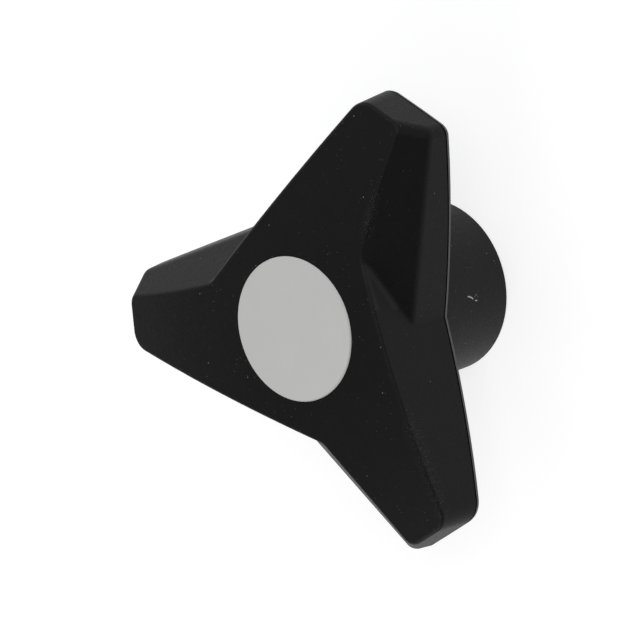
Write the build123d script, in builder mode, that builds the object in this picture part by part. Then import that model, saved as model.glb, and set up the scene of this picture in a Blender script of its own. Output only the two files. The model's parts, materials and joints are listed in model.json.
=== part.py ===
"""Three-arm control knob: a moulded head and hub, a press-in cap and a tapped brass bush, in millimetres.

The origin is the middle of the hub's end face, at the mouth of the tapped hole, with +Z up through the cap.
The first arm points along +X, and the others follow at 120 degrees.
"""
from build123d import *
import math
import os

# Overall sizes
arm_count = 3
height = 29.8              # hub end to the cap's face
cap_diameter = 18.8
hub_diameter = 23.2        # at its end, before the draft widens it towards the head
hub_draft = 1.0

# Head: a star with straight sides, crowned in front and domed behind
underside_depth = 13.4     # cap face down to the lowest point of the domed underside
side_distance = 15.0       # axis to each long side of an arm, at the underside's depth
end_distance = 31.8        # axis to each arm's end face, at the underside's depth
arm_root_share = 0.5       # how far behind the axis an arm starts inside its neighbours, in side distances
side_angle = 17.5          # each side of an arm closes in by this towards the end
side_draft = 7.0
end_draft = 3.5
crown_radius = 144.0
dome_radius = 138.0
cap_stands_proud = 0.15    # cap face above the crown at the cap's edge

# Bevel along one side of each arm, which gives the head its pinwheel look
bevel_angle = 48.0         # from the horizontal
bevel_foot_depth = 6.2     # cap face down to the bevel's lower edge

# Lip below the mould's parting line
lip_height = 0.55
lip_setback = 0.12

# Edges of the moulding
long_corner_radius = 2.8   # at each arm's end, on its long side
short_corner_radius = 1.6  # at each arm's end, on its beveled side
bevel_foot_extra = 0.3     # bevel foot's radius over the short corner's, which runs across it
crease_radius = 0.9
face_edge_radius = 0.5
lip_chamfer = 0.25
hub_root_size = 2.0        # how far the rounding at the hub's root runs along the hub and the land
hub_root_share = 0.9       # most of the flat between hub and lip that the rounding may take
land_margin = 0.4          # flat land on the underside, outside the rounding
hub_end_chamfer = 0.3

# Cap: a disc over a ring that snaps into the head
cap_thickness = 1.6
cap_edge_chamfer = 0.15
ring_diameter = 14.6
ring_wall = 1.3
ring_length = 2.8
ring_lead_in = 0.3
ridge_height = 0.35        # ridge halfway down the ring
cap_clearance = 0.05       # round the disc, the ring and the ridge
ring_end_gap = 0.4         # left below the ring

# Bush: knurled collars at both ends of a waist hold it in the moulding
bush_diameter = 14.0
bush_floor = 1.0           # brass left above the drill's point
waist_depth = 0.9          # how far the waist stands in from the collars
collar_length = 6.0
flute_count = 20
flute_width = 1.0          # each flute is cut by a square standing on its corner
flute_turn = 45.0
hole_diameter = 8.5        # tapping hole of an M10 thread
hole_depth = 14.5
mouth_chamfer = 0.95
drill_point_angle = 118.0

# Heights, angles and distances that follow
face_z = height
underside_z = height - underside_depth
crown_z = face_z - cap_stands_proud
crown_centre_z = crown_z - math.sqrt(crown_radius**2 - (cap_diameter / 2) ** 2)
dome_centre_z = underside_z + dome_radius
seat_z = face_z - cap_thickness
pocket_z = seat_z - ring_length - ring_end_gap
ridge_z = seat_z - ring_length / 2
bevel_foot_z = face_z - bevel_foot_depth
half_side = math.radians(side_angle)
end_half_width = side_distance / math.cos(half_side) - end_distance * math.tan(half_side)
dome_rise = dome_radius - math.sqrt(dome_radius**2 - end_distance**2 - end_half_width**2)
hub_spread = math.tan(math.radians(hub_draft))
hub_root_distance = hub_diameter / 2 + underside_z * hub_spread
hub_root_room = side_distance - lip_setback - lip_chamfer - hub_root_distance
hub_root_reach = min(hub_root_size, hub_root_share * hub_root_room)
land_z = dome_centre_z - math.sqrt(dome_radius**2 - (hub_root_distance + hub_root_reach + land_margin) ** 2)
point_height = hole_diameter / 2 / math.tan(math.radians(drill_point_angle / 2))
bush_length = hole_depth + point_height + bush_floor
bevel_foot_radius = short_corner_radius + bevel_foot_extra
spare = 2.0                # how far a rough block runs past the surface that trims it
close = 0.1                # edges within this of a height count as lying on it
steep = 0.35               # an edge that climbs more than this per unit of length runs up a wall
ball_turn = (90, 0, 0)     # keeps the seam and poles of each trimming ball away from the head


def arm_outline(distance):
    """Triangle whose base lies behind the axis, so that its corners stay inside the neighbouring arms."""
    point_x = distance / math.sin(half_side)
    root_x = -distance * arm_root_share
    root_y = (distance - root_x * math.sin(half_side)) / math.cos(half_side)
    return [(point_x, 0), (root_x, root_y), (root_x, -root_y)]


def end_plane(distance):
    """Plane of an arm's end face, which leans in towards the crown."""
    lean = math.radians(end_draft)
    return Plane(origin=(distance, 0, underside_z), x_dir=(0, 1, 0), z_dir=(math.cos(lean), 0, math.sin(lean)))


def end_corners(arm_part):
    """Edges that run up the two corners of the end of the arm along +X, from its beveled side to its long side."""
    edges = arm_part.edges().filter_by(lambda edge: abs(edge.tangent_at(0.5).Z) > steep)
    return edges.filter_by(lambda edge: edge.center().X > end_distance - spare).sort_by(Axis.Y)


def creases(star):
    """Edges that run up the inner corners where two arms meet."""
    edges = star.edges().filter_by(lambda edge: abs(edge.tangent_at(0.5).Z) > steep)
    return edges.filter_by(lambda edge: math.hypot(edge.center().X, edge.center().Y) < side_distance + spare)


def ridge_outline(reach):
    """Section of the ridge round the cap's ring, with its foot inside the ring's wall."""
    ring_radius = ring_diameter / 2
    foot = ring_radius - ring_wall / 2
    return [
        (foot, ridge_z - reach),
        (ring_radius, ridge_z - reach),
        (ring_radius + reach, ridge_z),
        (ring_radius, ridge_z + reach),
        (foot, ridge_z + reach),
    ]


# One arm, beveled on its clockwise side as seen from the cap
bevel_azimuth = half_side - math.pi / 2
bevel_tilt = math.radians(bevel_angle)
bevel_foot_distance = side_distance - (bevel_foot_z - underside_z) * math.tan(math.radians(side_draft))
bevel_plane = Plane(
    origin=(
        bevel_foot_distance * math.cos(bevel_azimuth),
        bevel_foot_distance * math.sin(bevel_azimuth),
        bevel_foot_z,
    ),
    x_dir=(-math.sin(bevel_azimuth), math.cos(bevel_azimuth), 0),
    z_dir=(
        math.sin(bevel_tilt) * math.cos(bevel_azimuth),
        math.sin(bevel_tilt) * math.sin(bevel_azimuth),
        math.cos(bevel_tilt),
    ),
)
with BuildPart() as arm:
    with BuildSketch(Plane.XY.offset(underside_z)):
        Polygon(*arm_outline(side_distance), align=None)
    extrude(amount=underside_depth + spare, taper=side_draft)
    split(bisect_by=end_plane(end_distance), keep=Keep.BOTTOM)
    fillet(end_corners(arm)[-1], long_corner_radius)
    split(bisect_by=bevel_plane, keep=Keep.BOTTOM)
    bevel_foot = arm.edges().filter_by(
        lambda edge: abs(edge.center().Z - bevel_foot_z) < close and edge.length > side_distance
    )
    fillet(bevel_foot, bevel_foot_radius)
    fillet(end_corners(arm).filter_by(lambda edge: edge.center().Y < 0), short_corner_radius)

# The foot of the same arm a little smaller, for the lip below the parting line
with BuildPart() as lip_arm:
    with BuildSketch(Plane.XY.offset(underside_z)):
        Polygon(*arm_outline(side_distance - lip_setback), align=None)
    extrude(amount=dome_rise + 2 * lip_height, taper=side_draft)
    split(bisect_by=end_plane(end_distance - lip_setback), keep=Keep.BOTTOM)
    fillet(end_corners(lip_arm)[-1], long_corner_radius - lip_setback)
    fillet(end_corners(lip_arm)[0], short_corner_radius - lip_setback)

# Head above the parting line
with BuildPart() as head:
    with PolarLocations(0, arm_count):
        add(arm.part)
    with Locations((0, 0, crown_centre_z)):
        Sphere(crown_radius, rotation=ball_turn, mode=Mode.INTERSECT)
    with Locations((0, 0, dome_centre_z)):
        Sphere(dome_radius - lip_height, rotation=ball_turn, mode=Mode.INTERSECT)
    fillet(creases(head), crease_radius)
    fillet(head.faces().sort_by(Axis.Z)[-1].edges(), face_edge_radius)

# Lip: what shows of the smaller star between the parting line and the domed underside
with BuildPart() as lip:
    with PolarLocations(0, arm_count):
        add(lip_arm.part)
    with Locations((0, 0, dome_centre_z)):
        Sphere(dome_radius, rotation=ball_turn, mode=Mode.INTERSECT)
    fillet(creases(lip), crease_radius + lip_setback)
    chamfer(lip.faces().filter_by(GeomType.SPHERE).sort_by(Axis.Z)[0].edges(), lip_chamfer)
    split(bisect_by=Plane.XY.offset(land_z), keep=Keep.TOP)

# Bush before it is drilled, which is also the shape of its bed in the moulding
with BuildPart() as bush_blank:
    with BuildSketch():
        Circle(bush_diameter / 2 - waist_depth)
    extrude(amount=bush_length)
    for collar_z in (0, bush_length - collar_length):
        with BuildSketch(Plane.XY.offset(collar_z)):
            Circle(bush_diameter / 2)
            with PolarLocations(bush_diameter / 2, flute_count):
                Rectangle(flute_width, flute_width, rotation=flute_turn, mode=Mode.SUBTRACT)
        extrude(amount=collar_length)

with BuildPart() as threaded_bush:
    add(bush_blank.part)
    with BuildSketch(Plane.XZ):
        with BuildLine():
            Polyline(
                (0, 0),
                (hole_diameter / 2 + mouth_chamfer, 0),
                (hole_diameter / 2, mouth_chamfer),
                (hole_diameter / 2, hole_depth),
                (0, hole_depth + point_height),
                close=True,
            )
        make_face()
    revolve(axis=Axis.Z, mode=Mode.SUBTRACT)

# Cap
with BuildPart() as cap:
    with BuildSketch(Plane.XY.offset(seat_z)):
        Circle(cap_diameter / 2)
    extrude(amount=cap_thickness)
    with BuildSketch(Plane.XY.offset(seat_z)):
        Circle(ring_diameter / 2)
        Circle(ring_diameter / 2 - ring_wall, mode=Mode.SUBTRACT)
    extrude(amount=-ring_length)
    chamfer(cap.faces().sort_by(Axis.Z)[-1].edges(), cap_edge_chamfer)
    chamfer(cap.faces().sort_by(Axis.Z)[0].edges().sort_by(SortBy.LENGTH)[-1], ring_lead_in)
    with BuildSketch(Plane.XZ):
        Polygon(*ridge_outline(ridge_height), align=None)
    revolve(axis=Axis.Z)

# Hub, turned about its axis: it runs on into the head, and its rounded root spreads onto the land
root_start_z = land_z - hub_root_reach
root_start = (hub_diameter / 2 + root_start_z * hub_spread, root_start_z)
root_corner = (hub_diameter / 2 + land_z * hub_spread, land_z)
root_end = (root_corner[0] + hub_root_reach, land_z)
with BuildPart() as hub:
    with BuildSketch(Plane.XZ):
        with BuildLine():
            Bezier(root_end, root_corner, root_start)
            Polyline(
                root_start,
                (hub_diameter / 2 + hub_end_chamfer * hub_spread, hub_end_chamfer),
                (hub_diameter / 2 - hub_end_chamfer, 0),
                (0, 0),
                (0, land_z + spare),
                (root_end[0], land_z + spare),
                root_end,
            )
        make_face()
    revolve(axis=Axis.Z)

# Moulding: head, lip and hub, with the cap's seat in front and the bush's bed behind
with BuildPart() as knob_body:
    add(head.part)
    add(lip.part)
    add(hub.part)
    with BuildSketch(Plane.XY.offset(seat_z)):
        Circle(cap_diameter / 2 + cap_clearance)
    extrude(amount=cap_thickness + spare, mode=Mode.SUBTRACT)
    with BuildSketch(Plane.XY.offset(pocket_z)):
        Circle(ring_diameter / 2 + cap_clearance)
    extrude(amount=seat_z - pocket_z, mode=Mode.SUBTRACT)
    with BuildSketch(Plane.XZ):
        Polygon(*ridge_outline(ridge_height + cap_clearance), align=None)
    revolve(axis=Axis.Z, mode=Mode.SUBTRACT)
    add(bush_blank.part, mode=Mode.SUBTRACT)

knob_body.part.label = "knob_body"
cap.part.label = "cap"
threaded_bush.part.label = "threaded_bush"

os.makedirs("parts", exist_ok=True)
export_step(knob_body.part, "parts/knob_body.step")
export_step(cap.part, "parts/cap.step")
export_step(threaded_bush.part, "parts/threaded_bush.step")
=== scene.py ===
# %% [markdown]
# A knob for tightening a machine part by hand: a black plastic head with three arms, a hub behind it, a
# light grey cap in its face and a brass bush in the hub's end. The construction model already has the exact
# shapes, so this lesson gives them their finishes, cuts the thread that the construction leaves out, and
# sets up a small photo studio. The first step loads the construction model, which stays where it is.

# %% Load the construction model
import json
import math

import bmesh
import bpy
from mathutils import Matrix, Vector


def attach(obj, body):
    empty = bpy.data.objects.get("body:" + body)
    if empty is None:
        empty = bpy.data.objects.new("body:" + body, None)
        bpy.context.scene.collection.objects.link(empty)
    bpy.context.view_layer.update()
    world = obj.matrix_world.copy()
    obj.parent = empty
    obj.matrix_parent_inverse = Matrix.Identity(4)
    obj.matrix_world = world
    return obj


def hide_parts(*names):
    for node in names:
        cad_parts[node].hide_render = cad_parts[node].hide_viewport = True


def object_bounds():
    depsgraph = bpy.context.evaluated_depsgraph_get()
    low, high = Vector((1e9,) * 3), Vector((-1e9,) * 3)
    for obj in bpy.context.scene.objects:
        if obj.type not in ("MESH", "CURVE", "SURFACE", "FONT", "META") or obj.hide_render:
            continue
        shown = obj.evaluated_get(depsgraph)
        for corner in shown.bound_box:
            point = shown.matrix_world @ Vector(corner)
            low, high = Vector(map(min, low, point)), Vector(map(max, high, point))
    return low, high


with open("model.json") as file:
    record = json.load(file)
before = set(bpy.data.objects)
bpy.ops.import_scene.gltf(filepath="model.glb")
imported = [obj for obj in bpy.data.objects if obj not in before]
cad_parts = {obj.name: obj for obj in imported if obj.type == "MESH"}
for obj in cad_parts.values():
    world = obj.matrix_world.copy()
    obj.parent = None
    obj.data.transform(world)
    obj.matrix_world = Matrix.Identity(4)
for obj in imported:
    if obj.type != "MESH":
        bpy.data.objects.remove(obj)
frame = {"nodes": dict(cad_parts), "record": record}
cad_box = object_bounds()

nodes = frame["nodes"]
MM = 0.001
height = cad_box[1].z
print("pieces:", sorted(nodes), "size in mm:", [round(side / MM, 2) for side in cad_box[1] - cad_box[0]])

# %% [markdown]
# Every finish below is a small network of nodes. One helper starts a material with its shader and the
# position on the piece, another adds a node with its settings, and the others make the patterns that the
# finishes share. Positions come from Object coordinates, in metres, because every piece's object sits at
# the origin: a pattern then stays on the plastic.


# %% Helpers for materials
def add_node(tree, kind, inputs=None, **settings):
    node = tree.nodes.new(kind)
    for name, value in settings.items():
        setattr(node, name, value)
    for name, value in (inputs or {}).items():
        node.inputs[name].default_value = value
    return node


def start_material(name):
    material = bpy.data.materials.new(name)
    material.use_nodes = True
    tree = material.node_tree
    shader = tree.nodes["Principled BSDF"]
    place = tree.nodes.new("ShaderNodeTexCoord").outputs["Object"]
    return material, tree, shader, place


def noise(tree, place, size_mm, detail=2.0, roughness=0.5):
    """Cloudy pattern whose lumps are about size_mm across."""
    settings = {"Scale": 1 / (size_mm * MM), "Detail": detail, "Roughness": roughness}
    node = add_node(tree, "ShaderNodeTexNoise", settings)
    tree.links.new(place, node.inputs["Vector"])
    return node.outputs["Fac"]


def remap(tree, value, low, high, to_low, to_high, kind="LINEAR"):
    """Turns the stretch low..high of a value into to_low..to_high, and holds it at the ends."""
    limits = {"From Min": low, "From Max": high, "To Min": to_low, "To Max": to_high}
    node = add_node(tree, "ShaderNodeMapRange", limits, interpolation_type=kind)
    tree.links.new(value, node.inputs["Value"])
    return node.outputs["Result"]


def math_node(tree, operation, first, second=None):
    node = add_node(tree, "ShaderNodeMath", operation=operation)
    for socket, value in zip(node.inputs, (first, second)):
        if isinstance(value, (int, float)):
            socket.default_value = value
        elif value is not None:
            tree.links.new(value, socket)
    return node.outputs["Value"]


def vector_node(tree, operation, first, second=None, output="Vector"):
    node = add_node(tree, "ShaderNodeVectorMath", operation=operation)
    for socket, value in zip(node.inputs, (first, second)):
        if isinstance(value, (tuple, Vector)):
            socket.default_value = value
        elif value is not None:
            tree.links.new(value, socket)
    return node.outputs[output]


def bump(tree, shader, heights, depth_mm, strength=1.0):
    node = add_node(tree, "ShaderNodeBump", {"Strength": strength, "Distance": depth_mm * MM})
    tree.links.new(heights, node.inputs["Height"])
    tree.links.new(node.outputs["Normal"], shader.inputs["Normal"])


def blend_colour(tree, amount, first, second):
    node = add_node(tree, "ShaderNodeMix", data_type="RGBA")
    tree.links.new(amount, node.inputs["Factor"])
    for socket, value in ((node.inputs[6], first), (node.inputs[7], second)):
        if isinstance(value, tuple):
            socket.default_value = value
        else:
            tree.links.new(value, socket)
    return node.outputs[2]


# %% [markdown]
# The body is black polyamide filled with glass fibre. Its mould was given a fine spark-eroded grain, so it
# has no clear reflections: light from the white surroundings only brightens the faces that it grazes. The
# grain could be modelled, but its lumps are a few tenths of a millimetre, so a bump from noise textures
# does as well. It is made here and joined to the shader further down, once the marks on the plastic are
# there too.

# %% Black grained polyamide
polyamide, tree, shader, place = start_material("black_polyamide")
shader.inputs["IOR"].default_value = 1.5
fine_grain = noise(tree, place, 0.22, detail=3.0, roughness=0.6)
coarse_grain = noise(tree, place, 0.9, detail=2.0)
coarse_share = 0.6
grain = math_node(tree, "ADD", fine_grain, math_node(tree, "MULTIPLY", coarse_grain, coarse_share))
clouds = noise(tree, place, 3.0, detail=4.0)
black = blend_colour(tree, clouds, (0.0038, 0.0038, 0.0039, 1), (0.0056, 0.0055, 0.0056, 1))
print("plain polyamide:", len(tree.nodes), "nodes")

# %% [markdown]
# The two halves of the mould meet at the foot of the arms' walls. Moulded parts show it: a hairline of
# shadow, and below it a smooth rounded edge that catches the light. Both are less than half a millimetre
# high, so they are painted: the hairline is painted shade, a colour darker than the black, and the edge a
# painted highlight, a lighter grey, over a bump that rounds it. The parting line lies on a large ball whose
# centre is high above the knob, so the distance from the ball says how far a point is from the line: it is
# below zero on the walls, and above zero on the lip under them.

# %% Parting line
ball_centre = (0, 0, 154.08 * MM)
ball_radius = 137.45 * MM
edge_height = 0.42 * MM
edge_blur = 0.02 * MM
line_height = 0.26 * MM
line_blur = line_height / 4
lip_start, lip_end = 0.35 * MM, 0.45 * MM
depth = math_node(tree, "SUBTRACT", vector_node(tree, "DISTANCE", place, ball_centre, "Value"), ball_radius)
below_line = remap(tree, depth, -edge_height - edge_blur, -edge_height, 0.0, 1.0)
edge = math_node(tree, "MULTIPLY", below_line, remap(tree, depth, lip_start, lip_end, 1.0, 0.0))
line_top = -edge_height - line_height
# The line: a painted shadow, a hairline on the wall just above the rounded edge.
line = math_node(tree, "SUBTRACT", remap(tree, depth, line_top, line_top + line_blur, 0.0, 1.0), below_line)
# Painted highlight, a lighter grey on the rounded edge, then painted shade, darker than the black, on the
# hairline.
with_painted_highlight = blend_colour(tree, edge, black, (0.028, 0.028, 0.027, 1))
with_painted_shade_line = blend_colour(tree, line, with_painted_highlight, (0.0005, 0.0005, 0.0005, 1))
rounding = remap(tree, depth, -edge_height, 0.0, 1.0, 0.0)
print("edge and line together, in mm:", round((edge_height + line_height) / MM, 2))

# %% [markdown]
# Plastic like this draws dust. Dust lies as single specks, far apart, so the specks are the centres of the
# cells of a Voronoi texture: the surface cuts only a few of the cells near enough to their centre. Other
# marks lie at one place: dust rubbed into two edges and a scrap of lint on the hub. So does a painted
# highlight, a sheen painted on the two edges of the notch between the arms. Each of them is the points
# within some distance of a straight line, which a second helper finds.


# %% Helpers for dust and marks
def dust(tree, place, spacing_mm, radius_mm):
    """1 on specks of that radius, 0 elsewhere. The wider the spacing, the fewer the specks."""
    cells = add_node(tree, "ShaderNodeTexVoronoi", {"Scale": 1 / (spacing_mm * MM)}, feature="F1")
    tree.links.new(place, cells.inputs["Vector"])
    radius = radius_mm / spacing_mm
    return remap(tree, cells.outputs["Distance"], radius * 0.6, radius, 1.0, 0.0)


def stroke(tree, place, start_mm, end_mm, radius_mm, core=0.5):
    """1 on the line from start to end and up to core * radius_mm from it, fading to 0 at radius_mm."""
    start = Vector(start_mm) * MM
    run = Vector(end_mm) * MM - start
    from_start = vector_node(tree, "SUBTRACT", place, start)
    along = vector_node(tree, "DOT_PRODUCT", from_start, run / run.length_squared, "Value")
    held = remap(tree, along, 0.0, 1.0, 0.0, 1.0)
    nearest = add_node(tree, "ShaderNodeVectorMath", operation="SCALE")
    nearest.inputs[0].default_value = run
    tree.links.new(held, nearest.inputs["Scale"])
    off_line = vector_node(tree, "DISTANCE", from_start, nearest.outputs["Vector"], "Value")
    return remap(tree, off_line, radius_mm * core * MM, radius_mm * MM, 1.0, 0.0)


# %% [markdown]
# The marks are laid over one another: the painted sheen, which is a painted highlight, first, then the
# dust, and the lint on top. The dust comes in two sizes. The finer one is thicker in some patches than in
# others, and where a hand or a cloth has rubbed it into an edge, it breaks up into crumbs.

# %% Dust, painted sheen and lint
patches = remap(tree, noise(tree, place, 9.0, detail=2.0), 0.42, 0.6, 0.25, 1.0)
fine_dust = math_node(tree, "MULTIPLY", dust(tree, place, 0.7, 0.046), patches)
specks = math_node(tree, "MAXIMUM", dust(tree, place, 2.2, 0.088), fine_dust)
crumbs = remap(tree, noise(tree, place, 0.16, detail=1.0), 0.56, 0.72, 0.0, 1.0)
rubbed_strength = 0.2
for start, end, radius in (
    ((-1.86, -20.16, 27.71), (-10.4, -28.2, 26.3), 1.5),
    ((22.0, -3.4, 28.2), (17.2, -4.5, 28.7), 1.1),
):
    rubbed = math_node(tree, "MULTIPLY", stroke(tree, place, start, end, radius, 0.0), crumbs)
    specks = math_node(tree, "MAXIMUM", specks, math_node(tree, "MULTIPLY", rubbed, rubbed_strength))

# Painted sheen: a lighter, slightly bluish grey along the notch's two edges, a painted highlight.
with_painted_sheen = with_painted_shade_line
for start, end, radius in (
    ((13.3, -6.2, 28.9), (9.4, -9.8, 28.6), 0.6),
    ((12.9, -6.7, 28.3), (9.3, -10.4, 25.7), 0.7),
):
    painted_sheen = stroke(tree, place, start, end, radius, 0.0)
    with_painted_sheen = blend_colour(tree, painted_sheen, with_painted_sheen, (0.016, 0.016, 0.018, 1))
dusty = blend_colour(tree, specks, with_painted_sheen, (0.22, 0.22, 0.215, 1))

faint = 0.2
lint = stroke(tree, place, (6.415, -9.825, 8.569), (6.271, -9.908, 8.062), 0.1)
for start, end, radius, strength in (
    ((6.271, -9.908, 8.062), (6.000, -10.074, 7.585), 0.11, 1.0),
    ((5.711, -10.230, 7.129), (5.643, -10.258, 6.764), 0.09, 1.0),
    ((6.125, -9.985, 7.228), (6.388, -9.806, 6.836), 0.06, faint),
    ((6.388, -9.806, 6.836), (5.997, -10.053, 6.495), 0.06, faint),
):
    fibre = math_node(tree, "MULTIPLY", stroke(tree, place, start, end, radius), strength)
    lint = math_node(tree, "MAXIMUM", lint, fibre)
linted = blend_colour(tree, lint, dusty, (0.7, 0.7, 0.7, 1))
print("polyamide with its marks:", len(tree.nodes), "nodes")

# %% [markdown]
# Now the shader gets its colour, gloss and relief. The grain scatters what the plastic reflects, so its
# specular level is far below that of a smooth plastic. The rounded edge was rubbed smooth by the mould, so
# it has more.

# %% Joining the polyamide
body_specular = 0.15
edge_specular = 0.8
edge_smoothing = 0.12
relief_mm = 0.2
grain_share = 0.16
tree.links.new(linted, shader.inputs["Base Color"])
gloss = remap(tree, edge, 0.0, 1.0, body_specular, edge_specular)
# The painted shade line loses its gloss as well, so that it stays dark.
unlit = math_node(tree, "MULTIPLY", line, body_specular)
tree.links.new(math_node(tree, "SUBTRACT", gloss, unlit), shader.inputs["Specular IOR Level"])
plain_roughness = remap(tree, fine_grain, 0.3, 0.7, 0.42, 0.58)
smoothed = math_node(tree, "MULTIPLY", edge, edge_smoothing)
tree.links.new(math_node(tree, "SUBTRACT", plain_roughness, smoothed), shader.inputs["Roughness"])
relief = math_node(tree, "ADD", rounding, math_node(tree, "MULTIPLY", grain, grain_share))
bump(tree, shader, relief, relief_mm)
nodes["knob_body"].data.materials.clear()
nodes["knob_body"].data.materials.append(polyamide)
print("polyamide:", len(tree.nodes), "nodes")

# %% [markdown]
# The cap is smooth light grey plastic, matte and clean. Even a plain moulding isn't one flat colour, so a
# faint cloud moves its grey and its gloss a little, and a very shallow bump keeps its reflections soft.

# %% Grey cap
grey_plastic, tree, shader, place = start_material("grey_plastic")
shader.inputs["IOR"].default_value = 1.5
clouds = noise(tree, place, 4.0, detail=3.0)
fine = noise(tree, place, 0.25, detail=2.0)
grey = blend_colour(tree, clouds, (0.53, 0.53, 0.515, 1), (0.56, 0.56, 0.545, 1))
tree.links.new(grey, shader.inputs["Base Color"])
tree.links.new(remap(tree, clouds, 0.3, 0.7, 0.46, 0.54), shader.inputs["Roughness"])
bump(tree, shader, fine, 0.005, 0.3)
nodes["cap"].data.materials.clear()
nodes["cap"].data.materials.append(grey_plastic)
print("cap:", len(tree.nodes), "nodes")

# %% [markdown]
# The bush is turned from brass, and the lathe tool leaves fine rings on its end. Rings round the axis are a
# pattern of the distance from it, so the position is flattened onto the end's plane and its length taken.
# The material goes on the bush further down, once its thread is cut.

# %% Turned brass
brass, tree, shader, place = start_material("turned_brass")
shader.inputs["Metallic"].default_value = 1.0
flat = vector_node(tree, "MULTIPLY", place, (1, 1, 0))
distance = vector_node(tree, "LENGTH", flat, output="Value")
ring_spacing = 0.12 * MM
rings = math_node(tree, "SINE", math_node(tree, "MULTIPLY", distance, 2 * math.pi / ring_spacing))
tarnish = noise(tree, place, 2.0, detail=4.0)
metal = blend_colour(tree, tarnish, (0.72, 0.5, 0.22, 1), (0.58, 0.4, 0.18, 1))
tree.links.new(metal, shader.inputs["Base Color"])
tree.links.new(remap(tree, tarnish, 0.3, 0.7, 0.26, 0.4), shader.inputs["Roughness"])
bump(tree, shader, rings, 0.004, 0.5)
print("brass:", len(tree.nodes), "nodes")

# %% [markdown]
# The construction's bush has a plain hole, as the drill leaves it. On the real bush a tap then cuts a
# helical groove into its wall. Rings side by side would look much the same, but a screw can't run in rings,
# so the groove is a helix here too. A flat section of the tap's tooth is spun round the axis and lifted a
# little at each step, which makes one long winding tooth.

# %% Tap's tooth
hole = next(mount for mount in frame["record"]["mounts"] if mount["name"] == "tapped_hole")
hole_radius = hole["dims"]["r_mm"] * MM
pitch = 1.5 * MM
groove_root_radius = 5.0 * MM
groove_root_width = pitch / 8
thread_depth = 12.5 * MM
lead_in = pitch                          # the tooth starts this far outside the bush
flank = math.tan(math.radians(30))       # a 60 degree thread: each flank leans by half of it
tooth_foot_radius = hole_radius - 0.3 * MM   # a little inside the hole, so that the cut is clean
steps_per_turn = 48
tooth_steps = round((thread_depth + lead_in) / pitch * steps_per_turn)

shape = bmesh.new()
root_half = groove_root_width / 2
foot_half = root_half + (groove_root_radius - tooth_foot_radius) * flank
section = [
    shape.verts.new((radius, 0, half - lead_in))
    for radius, half in (
        (tooth_foot_radius, -foot_half),
        (groove_root_radius, -root_half),
        (groove_root_radius, root_half),
        (tooth_foot_radius, foot_half),
    )
]
tooth_face = shape.faces.new(section)
bmesh.ops.spin(
    shape,
    geom=[tooth_face, *tooth_face.edges, *section],
    cent=(0, 0, 0),
    axis=(0, 0, 1),
    dvec=(0, 0, pitch / steps_per_turn),
    angle=2 * math.pi * tooth_steps / steps_per_turn,
    steps=tooth_steps,
)
bmesh.ops.remove_doubles(shape, verts=shape.verts, dist=0.001 * MM)
bmesh.ops.recalc_face_normals(shape, faces=shape.faces)
tooth_mesh = bpy.data.meshes.new("tap_tooth")
shape.to_mesh(tooth_mesh)
open_edges = sum(edge.is_boundary for edge in shape.edges)
shape.free()
print("tooth:", len(tooth_mesh.polygons), "faces, open edges:", open_edges)

# %% [markdown]
# The winding tooth is taken away from a copy of the bush. The copy's doubled points are merged first,
# because the cut needs a closed solid. The faces stay flat, because smooth shading would smear the light
# over the long, thin faces that the cut leaves.

# %% Tapped bush
shape = bmesh.new()
shape.from_mesh(nodes["threaded_bush"].data)
bmesh.ops.remove_doubles(shape, verts=shape.verts, dist=0.001 * MM)
bush_mesh = bpy.data.meshes.new("tapped_bush")
shape.to_mesh(bush_mesh)
shape.free()
bush = bpy.data.objects.new("tapped_bush", bush_mesh)
tooth = bpy.data.objects.new("tap_tooth", tooth_mesh)
for part in (bush, tooth):
    bpy.context.scene.collection.objects.link(part)
cut = bush.modifiers.new("thread", "BOOLEAN")
cut.operation = "DIFFERENCE"
cut.solver = "EXACT"
cut.object = tooth
threaded_mesh = bpy.data.meshes.new_from_object(bush.evaluated_get(bpy.context.evaluated_depsgraph_get()))
bush.modifiers.clear()
bush.data = threaded_mesh
bpy.data.objects.remove(tooth)
threaded_mesh.materials.clear()
threaded_mesh.materials.append(brass)
threaded_mesh.shade_flat()
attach(bush, "root")
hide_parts("threaded_bush")
print("bush:", len(threaded_mesh.polygons), "faces after the cut")

# %% [markdown]
# The studio is a pale floor that runs past the frame, a sky and two large soft lamps. The paper of the
# floor is grey, and what it lacks to white is added only for rays that the camera, a gloss or a glass sees
# directly. So the background turns white with no extra light on the knob, and the knob's shadow stays, but
# faintly. From below, the floor is clear, so that the hub's end can be looked at.

# %% Floor
floor_radius = 3.0                       # in metres
paper_grey = 0.42
glow_strength = 0.70
floor_mesh = bpy.data.meshes.new("floor")
shape = bmesh.new()
bmesh.ops.create_circle(shape, cap_ends=True, segments=64, radius=floor_radius)
shape.to_mesh(floor_mesh)
shape.free()
floor = bpy.data.objects.new("floor", floor_mesh)
bpy.context.scene.collection.objects.link(floor)

floor_material = bpy.data.materials.new("white_floor")
floor_material.use_nodes = True
tree = floor_material.node_tree
tree.nodes.clear()
output = tree.nodes.new("ShaderNodeOutputMaterial")
paper = add_node(tree, "ShaderNodeBsdfDiffuse", {"Color": (paper_grey, paper_grey, paper_grey, 1)})
glow = tree.nodes.new("ShaderNodeEmission")
ray = tree.nodes.new("ShaderNodeLightPath")
seen = math_node(
    tree,
    "MAXIMUM",
    ray.outputs["Is Camera Ray"],
    math_node(tree, "MAXIMUM", ray.outputs["Is Glossy Ray"], ray.outputs["Is Transmission Ray"]),
)
tree.links.new(math_node(tree, "MULTIPLY", seen, glow_strength), glow.inputs["Strength"])
both = tree.nodes.new("ShaderNodeAddShader")
tree.links.new(paper.outputs[0], both.inputs[0])
tree.links.new(glow.outputs[0], both.inputs[1])
clear = tree.nodes.new("ShaderNodeBsdfTransparent")
side = tree.nodes.new("ShaderNodeNewGeometry")
top_only = tree.nodes.new("ShaderNodeMixShader")
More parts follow.
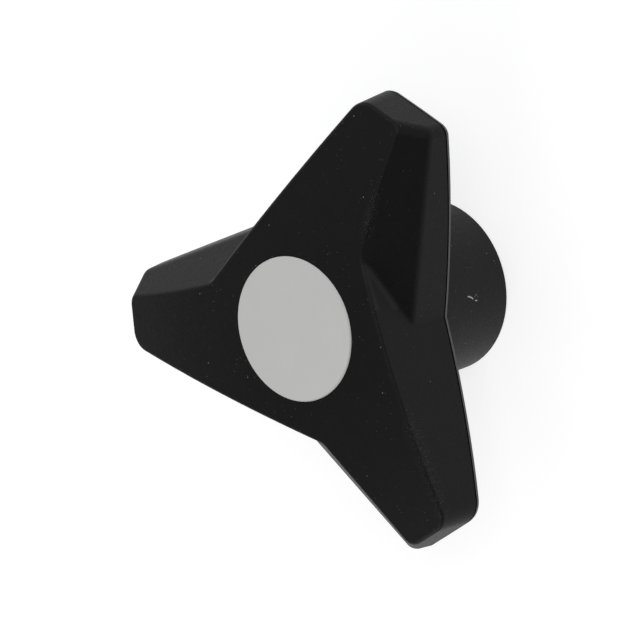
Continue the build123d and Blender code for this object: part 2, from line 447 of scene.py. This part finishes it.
tree.links.new(side.outputs["Backfacing"], top_only.inputs[0])
tree.links.new(both.outputs[0], top_only.inputs[1])
tree.links.new(clear.outputs[0], top_only.inputs[2])
tree.links.new(top_only.outputs[0], output.inputs["Surface"])
floor_mesh.materials.append(floor_material)
print("floor faces up:", floor_mesh.polygons[0].normal.z > 0)

# %% [markdown]
# A black piece shows its form by what it reflects. In the photograph the faces that look away from the
# camera are the brighter ones, because the surroundings are white behind the knob and dark behind the
# camera. The sky here does the same: a white band along the horizon on the far side, a paler one higher up
# on the right, and a grey ceiling. Reflected in the crown and in the arms' slopes, they set each slope off
# from the next. The sky is a little bluish, as in the photograph's reflections.

# %% Sky
far_side = (-0.72, 0.695, 0)             # away from the camera, level
right_side = (0.695, 0.72, 0)
band_strength = 1.25
right_strength = 1.7
ceiling_strength = 0.45
low_end = 0.35                           # the heights are 0 at the horizon and 1 straight up
ceiling_start, ceiling_end = 0.55, 0.85
world = bpy.data.worlds.new("sky")
bpy.context.scene.world = world
world.use_nodes = True
tree = world.node_tree
tree.nodes.clear()
output = tree.nodes.new("ShaderNodeOutputWorld")
direction = tree.nodes.new("ShaderNodeTexCoord").outputs["Generated"]
level = vector_node(tree, "NORMALIZE", vector_node(tree, "MULTIPLY", direction, (1, 1, 0)))
far = math_node(tree, "MAXIMUM", vector_node(tree, "DOT_PRODUCT", level, far_side, "Value"), 0.0)
right = math_node(tree, "MAXIMUM", vector_node(tree, "DOT_PRODUCT", level, right_side, "Value"), 0.0)
split = tree.nodes.new("ShaderNodeSeparateXYZ")
tree.links.new(direction, split.inputs[0])
rise = split.outputs["Z"]
low = remap(tree, rise, 0.0, low_end, 1.0, 0.0, "SMOOTHSTEP")
ceiling = remap(tree, rise, ceiling_start, ceiling_end, 0.0, 1.0, "SMOOTHSTEP")
middle = math_node(tree, "SUBTRACT", math_node(tree, "SUBTRACT", 1.0, low), ceiling)
band = math_node(tree, "MULTIPLY", math_node(tree, "MULTIPLY", far, low), band_strength)
side_glow = math_node(tree, "MULTIPLY", math_node(tree, "MULTIPLY", right, middle), right_strength)
top = math_node(tree, "MULTIPLY", ceiling, ceiling_strength)
sky = add_node(tree, "ShaderNodeBackground", {"Color": (0.95, 0.96, 1.0, 1)})
light = math_node(tree, "ADD", math_node(tree, "ADD", band, side_glow), top)
tree.links.new(light, sky.inputs["Strength"])
tree.links.new(sky.outputs[0], output.inputs["Surface"])
print("sky:", len(tree.nodes), "nodes")

# %% [markdown]
# Two wide lamps light what the sky only outlines: one from beside the camera, which gives the grey cap its
# tone, and a slightly warm one from the left. They are wide for their distance, so that no shadow has a
# hard edge. A lamp's power is given by the light that it should make on the knob, whatever its distance.


# %% Lamps
def soft_lamp(name, place, size, light, colour):
    """Square lamp turned to face the knob. A light of 1 makes a white face that looks at it white."""
    target = Vector((0, 0, height / 2))
    away = Vector(place) - target
    lamp = bpy.data.lights.new(name, "AREA")
    lamp.size = size
    lamp.energy = light * math.pi**2 * away.length_squared
    lamp.color = colour
    lamp_object = bpy.data.objects.new(name, lamp)
    bpy.context.scene.collection.objects.link(lamp_object)
    lamp_object.location = place
    lamp_object.rotation_euler = away.to_track_quat("Z", "Y").to_euler()


white = (1.0, 1.0, 1.0)
warm = (1.0, 0.98, 0.95)
soft_lamp("lamp_front", (0.42, -0.30, 0.60), 0.35, 0.33, white)
soft_lamp("lamp_left", (-0.60, -0.20, 0.40), 0.40, 0.38, warm)

# %% [markdown]
# The photograph looks at the knob from in front and above, with a long lens, and the knob lies askew in the
# frame. The camera's place, turn and lens were found by matching the knob's outline, so the angles aren't
# round numbers.

# %% Camera
camera = bpy.data.cameras.new("camera")
camera.sensor_width = 36
camera.lens = 198.4
camera_object = bpy.data.objects.new("camera", camera)
bpy.context.scene.collection.objects.link(camera_object)
camera_object.location = (0.21736, -0.20990, 0.35866)
camera_object.rotation_euler = [math.radians(angle) for angle in (-14.967, 39.839, -66.677)]
bpy.context.scene.camera = camera_object
bpy.context.scene.view_settings.view_transform = "Standard"
print("camera to knob, in mm:", round(camera_object.location.length / MM))
